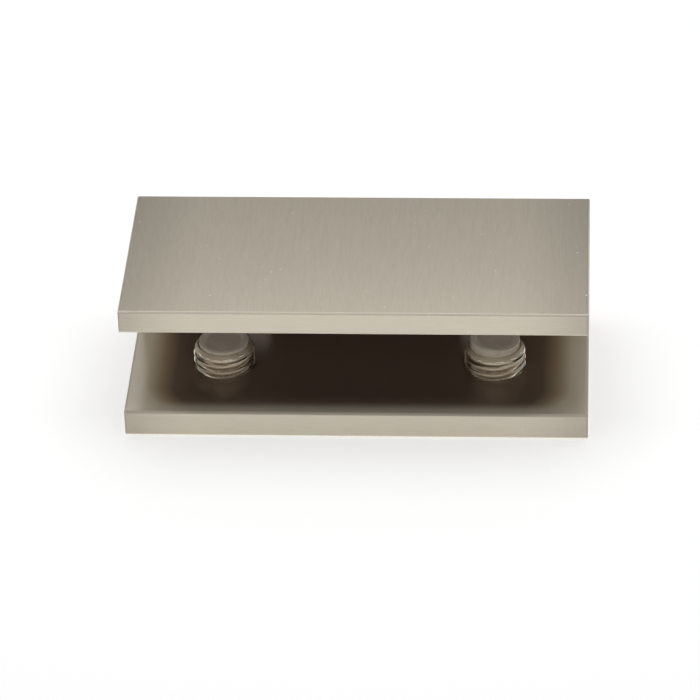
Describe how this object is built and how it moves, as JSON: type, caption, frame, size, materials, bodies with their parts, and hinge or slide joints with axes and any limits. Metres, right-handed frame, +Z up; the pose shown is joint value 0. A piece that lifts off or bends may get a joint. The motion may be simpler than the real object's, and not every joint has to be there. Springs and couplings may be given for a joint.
{
  "type": "glass panel clamp",
  "caption": "U-shaped satin nickel clamp that fixes flat to a wall and grips a glass panel in its slot with nylon-tipped set screws from below.",
  "frame": {"origin": "on the wall face, midway between the two wall-fixing holes and at mid-height of the slot", "axes": "+X along the glass edge, to the right of someone who faces the mouth; +Y into the wall, so the mouth opens towards -Y; +Z up, from the lower arm with the set screws to the top arm"},
  "size_m": [0.06, 0.028, 0.0192],
  "materials": {
    "brushed_nickel": "satin nickel, brushed in fine straight lines",
    "bright_nickel": "bright nickel-plated machined thread",
    "natural_nylon": "milky, slightly translucent nylon with a soft sheen"
  },
  "bodies": {
    "clamp": {"clamp_body": "brushed_nickel"},
    "left_tip": {"left_tip": "natural_nylon"},
    "left_screw": {"left_set_screw": "bright_nickel"},
    "right_tip": {"right_tip": "natural_nylon"},
    "right_screw": {"right_set_screw": "bright_nickel"}
  },
  "joints": [
    {"name": "left_travel", "type": "slide", "parent": "clamp", "child": "left_tip", "axis": [0, 0, 1], "range_m": [-0.003, 0.002]},
    {"name": "left_turn", "type": "hinge", "parent": "left_tip", "child": "left_screw", "pos_m": [-0.01775, -0.0163, -0.0061], "axis": [0, 0, 1], "range_deg": [-1080, 720]},
    {"name": "right_travel", "type": "slide", "parent": "clamp", "child": "right_tip", "axis": [0, 0, 1], "range_m": [-0.003, 0.002]},
    {"name": "right_turn", "type": "hinge", "parent": "right_tip", "child": "right_screw", "pos_m": [0.01775, -0.0163, -0.0061], "axis": [0, 0, 1], "range_deg": [-1080, 720]}
  ],
  "couplings": [
    {"joint": "left_turn", "follows": "left_travel", "rad_per_m": 6283.2},
    {"joint": "right_turn", "follows": "right_travel", "rad_per_m": 6283.2}
  ]
}
